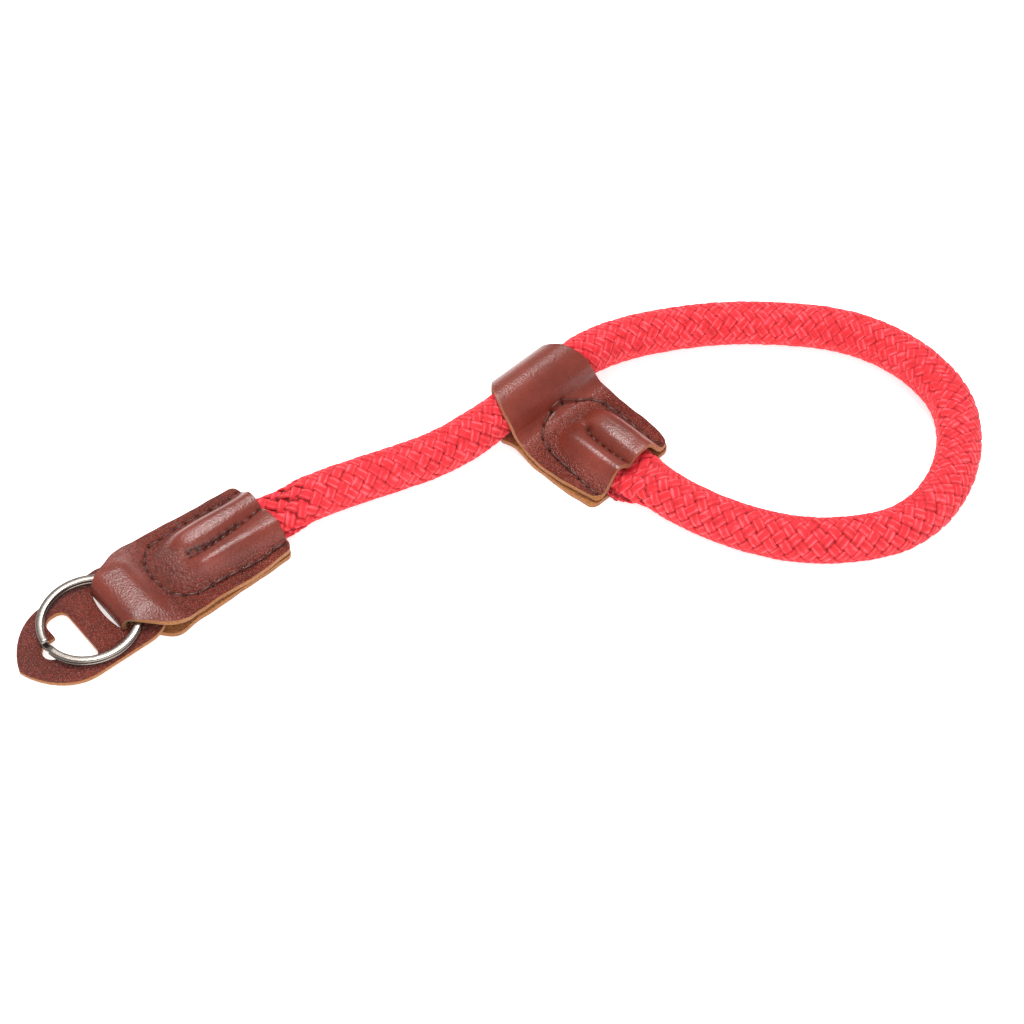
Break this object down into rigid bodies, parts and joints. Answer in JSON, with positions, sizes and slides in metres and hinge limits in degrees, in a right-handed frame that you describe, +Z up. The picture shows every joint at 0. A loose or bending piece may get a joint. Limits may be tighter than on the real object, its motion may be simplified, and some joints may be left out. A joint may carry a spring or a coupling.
{
  "type": "camera wrist strap",
  "caption": "Braided rope wrist loop with a folded leather slider, ending in a sewn leather connector that holds a split ring over a leaf-shaped leather protector pad.",
  "frame": {"origin": "centre of the strap's bounding box on the table it lies on", "axes": "+Z up from the table, +X from the split ring end towards the wrist loop"},
  "size_m": [0.2217, 0.1123, 0.0139],
  "materials": {
    "rope": "braided soft matte yarn",
    "leather": "fine-grained smooth leather with a soft sheen, raw tan cut edges",
    "ring_steel": "smooth bright steel wire"
  },
  "bodies": {
    "root": {"rope": "rope", "connector_leather": "leather", "slider_leather": "leather", "protector_pad": "leather", "split_ring": "ring_steel"}
  },
  "joints": []
}
